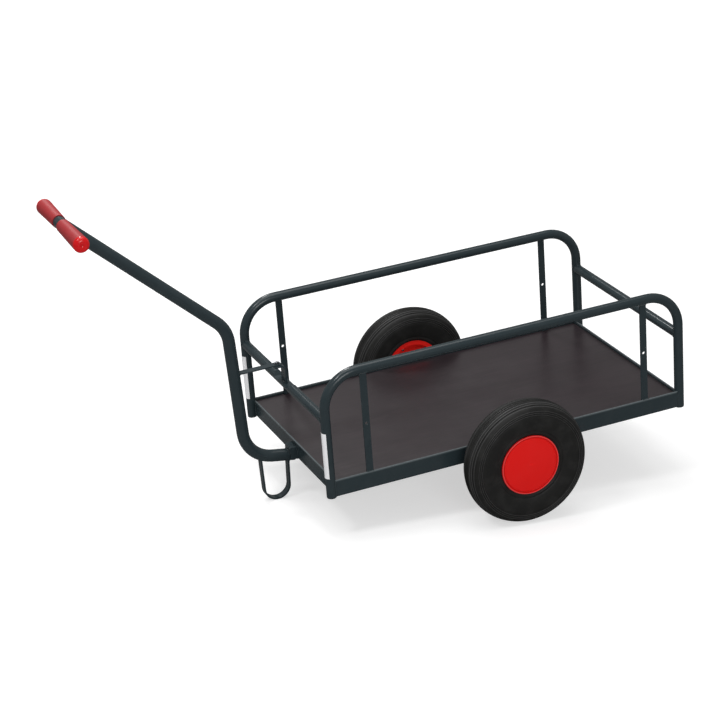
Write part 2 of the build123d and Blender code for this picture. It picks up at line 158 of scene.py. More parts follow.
class CartSizes(bpy.types.PropertyGroup):
    """Sizes of the pieces that dress the frame."""
    ribs: IntProperty(name="Ribs", description="Ribs across each tread", default=9, min=3)
    tread_width: length("Tread width", "Width of the ribbed tread", 0.080)
    tread_drop: length("Tread drop", "From the crown down to the edges of the tread", 0.0105)
    bulge_drop: length("Bulge drop", "From the crown down to the widest part", 0.0485)
    groove_width: length("Groove width", "Width of the grooves between the ribs", 0.0040)
    groove_depth: length("Groove depth", "Depth of the grooves between the ribs", 0.0042)
    tyre_steps: IntProperty(name="Tyre steps", description="Steps round each tyre",
                            default=144, min=24)
    bead_radius: length("Bead radius", "Radius of the weld beads", 0.0024)
    bead_pitch: length("Bead pitch", "Distance between the ripples of a weld", 0.0020)
    head_height: length("Head height", "Height of the brace bolt's head and nut", 0.0053)
    washer_radius: length("Washer radius", "Radius of the washers on the brace bolt", 0.0076)
    valve_radius: length("Valve circle", "Distance of the valves from the wheels' axes", 0.0806)
    valve_angle: FloatProperty(name="Valve angle", default=radians(65), subtype="ANGLE",
                               description="Turn of the valves from straight ahead")
    plug_dome: length("Plug dome", "Height of the plugs' domes under the posts", 0.0028)


# Work in edit mode

MERGE_DISTANCE = 0.00001


def deselect():
    """Nothing selected, in object mode."""
    if bpy.context.object and bpy.context.object.mode != "OBJECT":
        bpy.ops.object.mode_set(mode="OBJECT")
    bpy.ops.object.select_all(action="DESELECT")


def work_on(*pieces):
    """These pieces selected, the first of them active."""
    deselect()
    for piece in pieces:
        piece.select_set(True)
    bpy.context.view_layer.objects.active = pieces[0]


def merge_doubles():
    """All vertices in one place made one, in edit mode."""
    bpy.ops.mesh.select_all(action="SELECT")
    bpy.ops.mesh.remove_doubles(threshold=MERGE_DISTANCE)


def draw_profile(name, points):
    """A line of edges from point to point, drawn by extruding one vertex."""
    deselect()
    bpy.ops.mesh.primitive_plane_add(size=0.001, location=points[0])
    piece = bpy.context.object
    piece.name = piece.data.name = name
    bpy.ops.object.mode_set(mode="EDIT")
    bpy.ops.mesh.select_mode(type="VERT")
    bpy.ops.mesh.select_all(action="SELECT")
    bpy.ops.mesh.merge(type="CENTER")
    for last, point in zip(points, points[1:]):
        move = {"value": Vector(point) - Vector(last)}
        bpy.ops.mesh.extrude_vertices_move(TRANSFORM_OT_translate=move)
    return piece


def spin_profile(name, points, centre, axis, steps):
    """A turned piece: the profile spun all the way round, closed and facing outwards."""
    piece = draw_profile(name, points)
    bpy.ops.mesh.select_all(action="SELECT")
    bpy.ops.mesh.spin(steps=steps, angle=2 * pi, center=centre, axis=axis)
    merge_doubles()
    bpy.ops.mesh.normals_make_consistent(inside=False)
    bpy.ops.object.mode_set(mode="OBJECT")
    return piece


def join_on_deck(name, pieces):
    """Pieces that were drawn in the deck's frame as one, put in its place on the cart."""
    work_on(*pieces)
    bpy.ops.object.join()
    whole = bpy.context.object
    whole.name = whole.data.name = name
    whole.matrix_world = DECK @ whole.matrix_world
    return whole


def settle(piece, body, slot, material, node=None, angle=35):
    """Place into the mesh, smooth shading, material, and its body in the frame; its slot is not
    used.
    """
    work_on(piece)
    bpy.ops.object.transform_apply(location=True, rotation=True, scale=True)
    bpy.ops.object.shade_smooth_by_angle(angle=radians(angle))
    piece.data.materials.clear()
    piece.data.materials.append(bpy.data.materials[material])
    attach(piece, body)
    if node:
        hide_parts(node)


# Shader nodes

def feed(tree, socket, value):
    """An input fed by another node's socket or a plain value, or left as it is by None."""
    if isinstance(value, bpy.types.NodeSocket):
        tree.links.new(value, socket)
    elif value is not None:
        socket.default_value = value


def fed(tree, node, **values):
    """The node with its named inputs fed."""
    for key, value in values.items():
        feed(tree, node.inputs[key.replace("_", " ")], value)
    return node


def maths(tree, operation, first, second=None, clamp=False):
    """A maths node's result."""
    node = tree.nodes.new("ShaderNodeMath")
    node.operation = operation
    node.use_clamp = clamp
    feed(tree, node.inputs[0], first)
    feed(tree, node.inputs[1], second)
    return node.outputs[0]


def vector_maths(tree, operation, first, second=None, scale=None):
    """A vector maths node's result, a vector or a single value."""
    node = tree.nodes.new("ShaderNodeVectorMath")
    node.operation = operation
    feed(tree, node.inputs[0], first)
    feed(tree, node.inputs[1], second)
    if scale is not None:
        feed(tree, node.inputs["Scale"], scale)
    return node.outputs["Value" if operation in ("LENGTH", "DOT_PRODUCT") else "Vector"]


def mix_colours(tree, factor, first, second):
    """A mix of two colours."""
    node = tree.nodes.new("ShaderNodeMix")
    node.data_type = "RGBA"
    values = {"Factor_Float": factor, "A_Color": first, "B_Color": second}
    for socket in node.inputs:
        feed(tree, socket, values.get(socket.identifier))
    return next(socket for socket in node.outputs if socket.identifier == "Result_Color")


def object_place(tree):
    """Place on the piece."""
    return tree.nodes.new("ShaderNodeTexCoord").outputs["Object"]


def noise(tree, place, scale, detail, roughness=0.5):
    """Noise of 0 to 1."""
    node = tree.nodes.new("ShaderNodeTexNoise")
    fed(tree, node, Vector=place, Scale=scale, Detail=detail, Roughness=roughness)
    return node.outputs["Fac"]


def ramp(tree, value, start, stop, low=0.0, high=1.0):
    """From low to high while the value goes from start to stop."""
    node = tree.nodes.new("ShaderNodeMapRange")
    fed(tree, node, Value=value, From_Min=start, From_Max=stop, To_Min=low, To_Max=high)
    return node.outputs["Result"]


def near(tree, value, level, width):
    """1 where the value is at the level, down to 0 where it is a width away."""
    away = maths(tree, "ABSOLUTE", maths(tree, "SUBTRACT", value, level))
    return maths(tree, "SUBTRACT", 1.0, maths(tree, "DIVIDE", away, width), clamp=True)


def varied(tree, colour, fac, spread, swing):
    """A colour that noise of 0 to 1 makes darker and lighter."""
    gain = maths(tree, "MULTIPLY", maths(tree, "SUBTRACT", fac, 0.5), spread)
    level = maths(tree, "ADD", maths(tree, "MULTIPLY", gain, swing), 1.0)
    return vector_maths(tree, "SCALE", colour, scale=level)


# Shared shader node groups

def new_group(name, inputs, outputs=(("Color", "colour"),)):
    """A group, the outputs of its input node and the inputs of its output node."""
    group = bpy.data.node_groups.new(name, "ShaderNodeTree")
    kinds = {"value": "NodeSocketFloat", "colour": "NodeSocketColor", "vector": "NodeSocketVector"}
    for label, kind, value in inputs:
        socket = group.interface.new_socket(name=label, in_out="INPUT", socket_type=kinds[kind])
        if value is not None:
            socket.default_value = value
    for label, kind in outputs:
        group.interface.new_socket(name=label, in_out="OUTPUT", socket_type=kinds[kind])
    source, result = group.nodes.new("NodeGroupInput"), group.nodes.new("NodeGroupOutput")
    return group, source.outputs, result.inputs


def build_mottle_group():
    """Slow drift of a colour between a darker and a lighter tone."""
    group, given, result = new_group(
        "Mottle",
        [("Color", "colour", None), ("Spread", "value", 0.12), ("Scale", "value", 9.0)])
    drift = noise(group, object_place(group), given["Scale"], detail=4.0, roughness=0.6)
    feed(group, result["Color"],
         varied(group, given["Color"], drift, given["Spread"], swing=2.0))


def build_grain_group():
    """Fine relief, such as orange peel in paint or the skin of rubber and plastic."""
    group, given, result = new_group(
        "Surface grain",
        [("Scale", "value", 600.0), ("Depth", "value", 0.3), ("Coarse Scale", "value", 60.0),
         ("Coarse Depth", "value", 0.1)],
        [("Height", "value")])
    place = object_place(group)
    fine, coarse = (
        maths(group, "MULTIPLY", noise(group, place, given[scale], detail=2.0), given[depth])
        for scale, depth in (("Scale", "Depth"), ("Coarse Scale", "Coarse Depth")))
    feed(group, result["Height"], maths(group, "ADD", fine, coarse))


def build_dust_group():
    """Thin dust and handling marks over a colour, rougher where it lies."""
    group, given, result = new_group(
        "Dust film",
        [("Color", "colour", None), ("Dust", "colour", (0.30, 0.29, 0.28, 1)),
         ("Amount", "value", 0.1), ("Scale", "value", 14.0), ("Roughness", "value", 0.4)],
        [("Color", "colour"), ("Roughness", "value")])
    cloud = noise(group, object_place(group), given["Scale"], detail=7.0, roughness=0.66)
    patches = ramp(group, cloud, start=0.46, stop=0.72)
    cover = maths(group, "MULTIPLY", patches, given["Amount"], clamp=True)
    feed(group, result["Color"], mix_colours(group, cover, given["Color"], given["Dust"]))
    rougher = maths(group, "MULTIPLY", cover, 0.5)
    feed(group, result["Roughness"],
         maths(group, "ADD", given["Roughness"], rougher, clamp=True))


def build_ring_group():
    """Another colour along a circle about an axis that lies across the cart."""
    group, given, result = new_group(
        "Ring",
        [("Color", "colour", None), ("Ring Color", "colour", None), ("Centre", "vector", None),
         ("Radius", "value", 0.1), ("Width", "value", 0.002)])
    offset = vector_maths(group, "SUBTRACT", object_place(group), given["Centre"])
    reach = vector_maths(group, "LENGTH", vector_maths(group, "MULTIPLY", offset, (1, 0, 1)))
    share = near(group, reach, given["Radius"], given["Width"])
    feed(group, result["Color"], mix_colours(group, share, given["Color"], given["Ring Color"]))


def build_line_group():
    """Another colour along a level, such as the upper edge of a rail."""
    group, given, result = new_group(
        "Level line",
        [("Color", "colour", None), ("Line Color", "colour", None),
         ("Direction", "vector", None), ("Level", "value", 0.0), ("Width", "value", 0.002)])
    height = vector_maths(group, "DOT_PRODUCT", object_place(group), given["Direction"])
    share = near(group, height, given["Level"], given["Width"])
    feed(group, result["Color"], mix_colours(group, share, given["Color"], given["Line Color"]))


def build_streak_group():
    """Fine streaks along the cart, as in the film face of the board."""
    group, given, result = new_group(
        "Board streaks", [("Color", "colour", None), ("Amount", "value", 0.2)])
    drawn_out = vector_maths(group, "MULTIPLY", object_place(group), (9.0, 170.0, 9.0))
    streak = noise(group, drawn_out, scale=1.0, detail=4.0, roughness=0.6)
    feed(group, result["Color"],
         varied(group, given["Color"], streak, given["Amount"], swing=4.0))


def placed(tree, name, **values):
    """A shared group placed in a material with its own values or links."""
    node = tree.nodes.new("ShaderNodeGroup")
    node.node_tree = bpy.data.node_groups[name]
    return fed(tree, node, **values)


# Finishes

# each with its colour setting, how far and at what scale the colour drifts, the scale and depth
# of its fine and its coarse relief, and the strength of that relief and of dust
POWDER = dict(colour="powder", roughness=0.23, spread=0.06, drift=5.0, fine=(420.0, 0.6),
              coarse=(90.0, 0.3), bump=0.06, dust=0.02, specular=0.42)
RED_PAINT = dict(roughness=0.3, spread=0.05, drift=8.0, fine=(380.0, 0.5),
                 coarse=(60.0, 0.3), bump=0.08, dust=0.01, specular=0.18)
FINISHES = {
    "powder_coat": POWDER,
    "rail_coat": POWDER,
    "film_faced_board": dict(
        colour="board", roughness=0.32, spread=0.08, drift=3.0, fine=(260.0, 0.8),
        coarse=(30.0, 0.2), bump=0.16, dust=0.03, dust_scale=5.0, specular=0.8),
    "black_rubber": dict(
        colour="rubber", roughness=0.5, spread=0.12, drift=16.0, fine=(900.0, 0.5),
        coarse=(60.0, 0.5), bump=0.2, dust=0.04, dust_scale=20.0, specular=0.3),
    "wheel_paint": dict(colour="rim", **RED_PAINT),
    "cover_paint": dict(colour="wheel", **RED_PAINT),
    "grip_plastic": dict(
        colour="sleeve", roughness=0.5, spread=0.06, drift=30.0, fine=(1400.0, 0.8),
        coarse=(300.0, 0.4), bump=0.2, dust=0.03, dust_scale=30.0),
    "cap_plastic": dict(
        colour="cap", roughness=0.2, spread=0.03, drift=30.0, fine=(300.0, 0.1),
        coarse=(80.0, 0.1), bump=0.02, dust=0.0, specular=0.45),
    "reflective_film": dict(
        colour="film", roughness=0.3, spread=0.04, drift=20.0, fine=(800.0, 0.4),
        coarse=(90.0, 0.2), bump=0.1, dust=0.06),
    "zinc_plate": dict(
        colour="zinc", roughness=0.34, spread=0.12, drift=60.0, fine=(700.0, 0.5),
        coarse=(90.0, 0.3), bump=0.12, dust=0.04, metallic=1.0),
    "black_plastic": dict(
        colour="plug", roughness=0.45, spread=0.08, drift=60.0, fine=(1200.0, 0.7),
        coarse=(200.0, 0.3), bump=0.2, dust=0.08),
}
SLOT_FINISHES = {
    "frame_steel": "powder_coat",
    "floor_board": "film_faced_board",
    "tyre_rubber": "black_rubber",
    "wheel_red": "wheel_paint",
    "grip_red": "grip_plastic",
    "cap_red": "cap_plastic",
    "reflective": "reflective_film",
    "zinc": "zinc_plate",
}
RELIEF_DEPTH = 0.0004
STREAK_AMOUNT = 0.4
# painted highlight along the rails' upper folds: its depth under their tops and its reach
FOLD_DEPTH, FOLD_REACH = 0.0004, 0.0055
# painted rings on the hub covers, shade in the groove and a highlight on the lip: distance in from
# the edge, reach
COVER_GROOVE, COVER_LIP = (0.0068, 0.0021), (0.0022, 0.0018)
# how much the groove's painted shade darkens and the lip's painted highlight lightens the covers'
# red
GROOVE_SHADE, LIP_LIGHT = 0.62, 0.1
# painted highlight on the tyres' rubber: ribs that show it, distance in from their edges, reach on
# ribs and ridges
HIGHLIGHTED_RIBS, HIGHLIGHT_INSET, RIB_HIGHLIGHT, RIDGE_HIGHLIGHT = 3, 0.0008, 0.0008, 0.0009
# ridges moulded on the tyres' shoulders, above their widest line
SHOULDER_LINES = (0.0145, 0.0205, 0.0265)


def finish_material(name, colour, roughness, spread, drift, fine, coarse, bump, dust,
                    dust_scale=14.0, metallic=0.0, specular=0.5):
    """A painted, moulded or plated finish: drifting colour, thin dust and fine relief."""
    material = bpy.data.materials.new(name)
    material.use_nodes = True
    tree = material.node_tree
    mottle = placed(tree, "Mottle", Color=(*colour, 1), Spread=spread, Scale=drift)
    film = placed(tree, "Dust film", Color=mottle.outputs["Color"], Amount=dust,
                  Scale=dust_scale, Roughness=roughness)
    grain = placed(tree, "Surface grain", Scale=fine[0], Depth=fine[1],
                   Coarse_Scale=coarse[0], Coarse_Depth=coarse[1])
    relief = fed(tree, tree.nodes.new("ShaderNodeBump"), Strength=bump, Distance=RELIEF_DEPTH,
                 Height=grain.outputs["Height"])
    fed(tree, tree.nodes["Principled BSDF"], Base_Color=film.outputs["Color"],
        Roughness=film.outputs["Roughness"], Normal=relief.outputs["Normal"],
        Metallic=metallic, Specular_IOR_Level=specular)


def colour_through(finish, group, **values):
    """One more shared group between a finish's colour and its shader."""
    tree = bpy.data.materials[finish].node_tree
    target = tree.nodes["Principled BSDF"].inputs["Base Color"]
    before = target.links[0].from_socket
    step = placed(tree, group, Color=before, **values)
    tree.links.new(step.outputs["Color"], target)


def give_finish(finish, nodes):
    """CAD nodes that take one finish all over."""
    for node in nodes:
        for slot in frame["nodes"][node].material_slots:
            slot.material = bpy.data.materials[finish]


class CART_OT_finishes(bpy.types.Operator):
    """Builds the finishes and gives them to the frame's own pieces."""
    bl_idname = "cart.finishes"
    bl_label = "Finishes"

    def execute(self, context):
        colours, sizes = context.scene.cart_colours, context.scene.cart_sizes
        build_mottle_group()
        build_grain_group()
        build_dust_group()
        build_ring_group()
        build_line_group()
        build_streak_group()
        for name, look in FINISHES.items():
            finish_material(name, **{**look, "colour": getattr(colours, look["colour"])})
        colour_through("film_faced_board", "Board streaks", Amount=STREAK_AMOUNT)
        self.paint_fold_highlights(colours)
        self.ring_covers(colours)
        self.paint_rib_highlights(colours, sizes)
        for node in frame["nodes"].values():
            for slot in node.material_slots:
                own_slot = slot.material.name.split(".")[0]
                slot.material = bpy.data.materials[SLOT_FINISHES[own_slot]]
        give_finish("cover_paint", [f"hub_cover_{side}" for side, _ in SIDES])
        give_finish("rail_coat", [f"side_rail_{side}" for side, _ in SIDES])
        give_finish("rail_coat", [f"end_rail_{end}" for end, _ in ENDS])
        return {"FINISHED"}

    def paint_fold_highlights(self, colours):
        """Painted highlight along the upper folds of the frame's rails."""
        up = Vector(DECK.col[2][:3])
        level = DECK.translation.dot(up) + deck_box("side_rail_left")[1].z
        colour_through("rail_coat", "Level line", Line_Color=(*colours.edge, 1), Direction=up,
                       Level=level - FOLD_DEPTH, Width=FOLD_REACH)

    def ring_covers(self, colours):
        """Hub covers with a painted shade in the groove and a painted highlight on the lip."""
        painted_groove_shade = [channel * GROOVE_SHADE for channel in colours.wheel]
        painted_lip_highlight = [channel * (1 - LIP_LIGHT) + LIP_LIGHT for channel in colours.wheel]
        edge = half_height("hub_cover_left")
        for colour, (inset, reach) in ((painted_groove_shade, COVER_GROOVE), (painted_lip_highlight, COVER_LIP)):
            self.ring("cover_paint", colour, edge - inset, reach)

    def paint_rib_highlights(self, colours, sizes):
        """Painted highlights on the edges of the tyres' outer ribs and on their ridges."""
        crown = half_height("tyre_left")
        inset = (sizes.groove_width / 2 + HIGHLIGHT_INSET) / (sizes.tread_width / 2)
        for rib in range(HIGHLIGHTED_RIBS):
            out = 1 - 2 * rib / sizes.ribs - inset
            at = crown - sizes.tread_drop * out ** 2
            self.ring("black_rubber", colours.rib_highlight, at, RIB_HIGHLIGHT)
        for above in SHOULDER_LINES:
            at = crown - sizes.bulge_drop + above
            self.ring("black_rubber", colours.rib_highlight, at, RIDGE_HIGHLIGHT)

    def ring(self, finish, colour, radius, reach):
        """A ring of colour about the wheels' axis."""
        colour_through(finish, "Ring", Ring_Color=(*colour, 1), Radius=radius, Width=reach,
                       Centre=box_middle("hub_cover_left"))


# Tyres

TYRE_SMOOTH_ANGLE = 28
# the wall: its start under the tread's edge, steps down it, powers that bend it over and under
# its widest line, and its foot over the rim's flange and beyond the flange's inner face
WALL_START, WALL_STEPS, WALL_SQUARE, WALL_ROUND = 0.0012, 40, 5, 2
FLANGE_THICKNESS, FOOT_RISE, FOOT_OUT = 0.0034, 0.0012, 0.0042
# a dip round the shoulder, so that its ridges stand clear: depth, middle over the widest
# line, reach
DIP_DEPTH, DIP_MIDDLE, DIP_REACH = 0.0022, 0.020, 0.0105
RIDGE_HEIGHT, RIDGE_WIDTH = 0.0021, 0.0013
# moulded lines over the bead: distance over the flange, height, width
BEAD_LINES = ((0.0150, -0.0014, 0.0013), (0.0085, 0.0013, 0.0016))
# where a moulded line has points, in widths from its middle
LINE_SHARES = (-1.4, -0.7, 0.0, 0.7, 1.4)
# where a rib has points, as shares of its width, and how far its edges are rounded off
RIB_SHARES, RIB_ROUNDING = (0.0, 0.14, 0.5, 0.86, 1.0), 0.0005
GROOVE_HALF_FLOOR, OUTER_GROOVE_DEPTH = 0.0006, 1.5
# the bead inside the rim: its top over the flange, foot under it, and reach to the middle
BEAD_TOP, BEAD_FOOT, BEAD_REACH = 0.0006, 0.0115, 0.016


class CART_OT_tyres(bpy.types.Operator):
    """Balloon tyres with ribbed treads, shoulder lines and beads that seat in the rims."""
    bl_idname = "cart.tyres"
    bl_label = "Tyres"

    def execute(self, context):
        sizes = context.scene.cart_sizes
        for side, sign in SIDES:
            low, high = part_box(f"tyre_{side}")
            centre = box_middle(f"tyre_{side}")
            points = [centre + Vector((0, sign * out, radius))
                      for radius, out in tyre_profile(low, high, side, sizes)]
            piece = spin_profile(f"tyre_ribbed_{side}", points, centre, (0, 1, 0),
                                 sizes.tyre_steps)
            settle(piece, f"wheel_{side}", "tyre_rubber", "black_rubber",
                   node=f"tyre_{side}", angle=TYRE_SMOOTH_ANGLE)
        return {"FINISHED"}


def rib_points(sizes):
    """The tread's ribs and grooves from side to side as (distance outwards, depth)."""
    step = sizes.tread_width / sizes.ribs
    room = step - sizes.groove_width
    points = []
    for rib in range(sizes.ribs):
        start = rib * step - sizes.tread_width / 2
        if rib:
            outer_one = rib in (1, sizes.ribs - 1)
            depth = sizes.groove_depth * (OUTER_GROOVE_DEPTH if outer_one else 1.0)
            points += [(start - GROOVE_HALF_FLOOR, depth), (start + GROOVE_HALF_FLOOR, depth)]
        for share in RIB_SHARES:
            rounding = 0.0 if 0.0 < share < 1.0 else RIB_ROUNDING
            points.append((start + sizes.groove_width / 2 + room * share, rounding))
    return points


def tyre_profile(low, high, side, sizes):
    """Section of a tyre as (radius, distance outwards), from bead to bead over the tread."""
    radius = (high[2] - low[2]) / 2
    half = (high[1] - low[1]) / 2
    rim_low, rim_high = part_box(f"rim_{side}")
    flange = half_height(f"rim_{side}")
    inside_flange = (rim_high[1] - rim_low[1]) / 2 - FLANGE_THICKNESS
    tread = sizes.tread_width / 2
    edge = radius - sizes.tread_drop
    widest = radius - sizes.bulge_drop
    foot = flange + FOOT_RISE
    foot_out = inside_flange + FOOT_OUT
    lines = [(widest + above, RIDGE_HEIGHT, RIDGE_WIDTH) for above in SHOULDER_LINES]
    lines += [(flange + above, height, width) for above, height, width in BEAD_LINES]

    def wall(at):
        """A point of the outer wall: square at the tread, round at the foot."""
        if at > widest:
            out = half - (half - tread) * ((at - widest) / (edge - widest)) ** WALL_SQUARE
        else:
            out = half - (half - foot_out) * ((widest - at) / (widest - foot)) ** WALL_ROUND
        out -= DIP_DEPTH * exp(-((at - widest - DIP_MIDDLE) / DIP_REACH) ** 4)
        for line, height, width in lines:
            out += height * exp(-((at - line) / width) ** 2)
        return at, min(out, half)

    tread_points = [(radius - (radius - edge) * (out / tread) ** 2 - depth, out)
                    for out, depth in rib_points(sizes)]
    start = edge - WALL_START
    radii = {start - (start - foot) * step / WALL_STEPS for step in range(WALL_STEPS + 1)}
    for line, _, width in lines:
        radii.update(line + width * share for share in LINE_SHARES)
    outer_half = [wall(at) for at in sorted(radii, reverse=True)]
    outer_half += [(flange + BEAD_TOP, inside_flange), (flange - BEAD_FOOT, inside_flange),
                   (flange - BEAD_FOOT, inside_flange - BEAD_REACH)]
    inner_half = [(at, -out) for at, out in reversed(outer_half)]
    return inner_half + tread_points + outer_half


# Welds

# a bead's ripple: sides, its narrow end as a share of its radius, its length in pitches
RIPPLE_SIDES, RIPPLE_TAPER, RIPPLE_LENGTH = 10, 0.72, 1.15
WELD_SMOOTH_ANGLE = 50
# rings of a seam round a tube sink a little into it
RING_SHARE = 0.97
POST_RING_STEPS, DRAWBAR_RING_STEPS = 24, 30
# seams down a rail stop short of its edges
EDGE_MARGIN = 0.003
# where lines are cast from: off the cart's middle, under an upright's or the stand's top,
# over and under the drawbar's foot, before the handle
CAST_SIDE, CAST_BELOW, CAST_OVER, CAST_UNDER, CAST_HANDLE = 0.2, 0.05, 0.05, -0.2, 0.1
BRACKET_THICKNESS = 0.005
BLOCK_MARGIN, PAST_BLOCK = 0.001, 0.002
PLATE_SEAM = 0.004
# the drawbar's vertices this near its end aren't its bend's, which lie at nearly one distance
END_REACH, BEND_SPREAD = 0.1, 0.0008


class CART_OT_welds(bpy.types.Operator):
    """Rippled weld beads where the steel pieces meet, joined as one piece."""
    bl_idname = "cart.welds"
    bl_label = "Welds"

    def execute(self, context):
        sizes = context.scene.cart_sizes
        seams = [*post_seams(), *upright_seams(), *brace_seams(), *drawbar_seams(),
                 *axle_seams()]
        welds = join_on_deck("welds", [self.bead(*seam, sizes) for seam in seams])
        settle(welds, "cart", "frame_steel", "powder_coat", angle=WELD_SMOOTH_ANGLE)
        return {"FINISHED"}

    def bead(self, points, closed, sizes):
        """One seam: a short cone repeated along its line."""
        line = draw_profile("seam", points + points[:1] if closed else points)
        if closed:
            merge_doubles()
        bpy.ops.object.mode_set(mode="OBJECT")
        work_on(line)
        bpy.ops.object.transform_apply(location=True, rotation=True, scale=True)
        bpy.ops.object.convert(target="CURVE")
        deselect()
        bpy.ops.mesh.primitive_cone_add(
            vertices=RIPPLE_SIDES, radius1=sizes.bead_radius,
            radius2=sizes.bead_radius * RIPPLE_TAPER, depth=sizes.bead_pitch * RIPPLE_LENGTH,
            rotation=(0, pi / 2, 0))
        bead = bpy.context.object
        bpy.ops.object.transform_apply(location=False, rotation=True, scale=False)
        repeat = bead.modifiers.new("repeat", "ARRAY")
        repeat.fit_type = "FIT_CURVE"
        repeat.curve = line
        repeat.use_relative_offset = False
        repeat.use_constant_offset = True
        repeat.constant_offset_displace = (sizes.bead_pitch, 0, 0)
        follow = bead.modifiers.new("follow", "CURVE")
        follow.object = line
        for modifier in ("repeat", "follow"):
            bpy.ops.object.modifier_apply(modifier=modifier)
        bpy.data.objects.remove(line)
        return bead


# The seams, in the deck's frame, each as (points, closed).

def laid(node, points, direction):
    """Points cast along a direction onto a node; those that miss are left out."""
    surface = deck_surface(node)
    hits = [surface.ray_cast(Vector(point), Vector(direction))[0] for point in points]
    return [hit for hit in hits if hit is not None]


def between(first, last, steps=6):
    """Evenly spaced points from one to the other."""
    return [Vector(first).lerp(Vector(last), step / steps) for step in range(steps + 1)]


def turns(steps):
    """Angles all the way round, the last one short of the first."""
    return [step * 2 * pi / steps for step in range(steps)]


def post_seams():
    """Cross rails round the posts, and the frame's rails down them."""
    for end, ahead in ENDS:
        low, high = deck_box(f"cross_rail_{end}")
        radius = (high.x - low.x) / 2
        middle = (low + high) / 2
        height = high.z - radius
        for side, sign in SIDES:
            ring = [(middle.x + radius * RING_SHARE * sin(turn), sign * CAST_SIDE,
                     height + radius * RING_SHARE * cos(turn))
                    for turn in turns(POST_RING_STEPS)]
            yield laid(f"hoop_{side}", ring, (0, sign, 0)), True
        rail_low, rail_high = deck_box(f"end_rail_{end}")
        face = outer(rail_low.x, rail_high.x, ahead)
        for side, sign in SIDES:
            line = between((face, 0, rail_low.z + EDGE_MARGIN),
                           (face, 0, rail_high.z - EDGE_MARGIN))
            yield laid(f"hoop_{side}", line, (0, sign, 0)), False
            side_low, side_high = deck_box(f"side_rail_{side}")
            outside = outer(side_low.y, side_high.y, sign)
            line = between((0, outside, side_low.z + EDGE_MARGIN),
                           (0, outside, side_high.z - EDGE_MARGIN))
            yield laid(f"hoop_{side}", line, (ahead, 0, 0)), False


def upright_seams():
    """Both faces of each upright along the top rail, and its foot on the side rail."""
    for end, _ in ENDS:
        for side, sign in SIDES:
            low, high = deck_box(f"upright_{end}_{side}")
            under = high.z - CAST_BELOW
            for y in (low.y, high.y):
                line = between((low.x, y, under), (high.x, y, under))
                yield laid(f"hoop_{side}", line, (0, 0, 1)), False
            outside = outer(low.y, high.y, sign)
            top = deck_box(f"side_rail_{side}")[1].z
            yield between((low.x, outside, top), (high.x, outside, top)), False


def brace_seams():
    """Brace on the riser, and both faces of the bracket on the flat of the cross rail."""
    low, high = deck_box("drawbar_brace")
    for z in (low.z, high.z):
        edge = between((low.x, low.y, z), (low.x, high.y, z), steps=8)
        yield laid("drawbar", edge, (1, 0, 0)), False
    low, high = deck_box("brace_bracket")
    for x in (low.x, low.x + BRACKET_THICKNESS):
        yield between((x, low.y, low.z), (x, high.y, low.z)), False


def drawbar_seams():
    """Socket, stand and handle on the drawbar."""
    low, high = deck_box("drawbar_socket")
    corners = [(low.x, low.y, low.z), (low.x, high.y, low.z),
               (low.x, high.y, high.z), (low.x, low.y, high.z)]
    outline = [point for first, last in zip(corners, corners[1:] + corners[:1])
               for point in between(first, last, steps=4)[:-1]]
    yield outline, True
    tube_low, tube_high = deck_box("drawbar")
    radius = (tube_high.y - tube_low.y) / 2
    middle_y = (tube_high.y + tube_low.y) / 2
    # round the tube, clear of the block at its rear face and on it at its front face
    for x, inside in ((low.x, False), (high.x, True)):
        centre = tube_middle(x + PAST_BLOCK)
        ring = []
        for turn in (*turns(DRAWBAR_RING_STEPS), 2 * pi):
            y, z = middle_y + radius * sin(turn), centre + radius * cos(turn)
            in_block = (low.y - BLOCK_MARGIN < y < high.y + BLOCK_MARGIN
                        and low.z - BLOCK_MARGIN < z < high.z + BLOCK_MARGIN)
            if in_block == inside:
                ring.append((turn, Vector((x, y, z))))
        for run in runs(ring, 2 * pi / DRAWBAR_RING_STEPS):
            yield run, False
    low, high = deck_box("parking_stand")
    under = high.z - CAST_BELOW
    for x in (low.x, high.x):
        line = between((x, low.y, under), (x, high.y, under), steps=8)
        yield laid("drawbar", line, (0, 0, 1)), False
    yield handle_ring(radius), True


def tube_middle(x):
    """Height of the drawbar's axis near its foot, at a place along the deck."""
    low, high = deck_box("drawbar")
    y = (low.y + high.y) / 2
    top = laid("drawbar", [(x, y, CAST_OVER)], (0, 0, -1))[0]
    bottom = laid("drawbar", [(x, y, CAST_UNDER)], (0, 0, 1))[0]
    return (top.z + bottom.z) / 2


def runs(ring, step):
    """Unbroken stretches of a ring's points, of three or more each."""
    found = []
    last = None
    for turn, point in ring:
        if last is None or turn - last > step * 1.5:
            found.append([])
        found[-1].append(point)
        last = turn
    return [run for run in found if len(run) > 2]


def handle_ring(radius):
    """The drawbar's end round the handle's tube."""
    end = DECK.inverted() @ box_middle("handle_bar")
    far = [point for point in deck_points("drawbar") if (point - end).length > END_REACH]
    nearest = min((point - end).length for point in far)
    bend = [point for point in far if (point - end).length < nearest + BEND_SPREAD]
    start = sum(bend, Vector()) / len(bend)
    along = (end - start).normalized()
    side = Vector((0, 1, 0))
    up = along.cross(side)
    ring = [end - along * CAST_HANDLE
            + (side * sin(turn) + up * cos(turn)) * radius * RING_SHARE
            for turn in turns(DRAWBAR_RING_STEPS)]
    return laid("handle_bar", ring, along)


def axle_seams():
    """Axle plates along the lips of the side rails."""
    for side, sign in SIDES:
        low, high = deck_box(f"axle_plate_{side}")
        lip = deck_box(f"side_rail_{side}")[0].z
        y = outer(low.y, high.y, sign)
        for x in (low.x, high.x):
            yield between((x, y, lip), (x, y, lip + PLATE_SEAM)), False
        yield between((low.x, y, lip), (high.x, y, lip)), False


# Fasteners

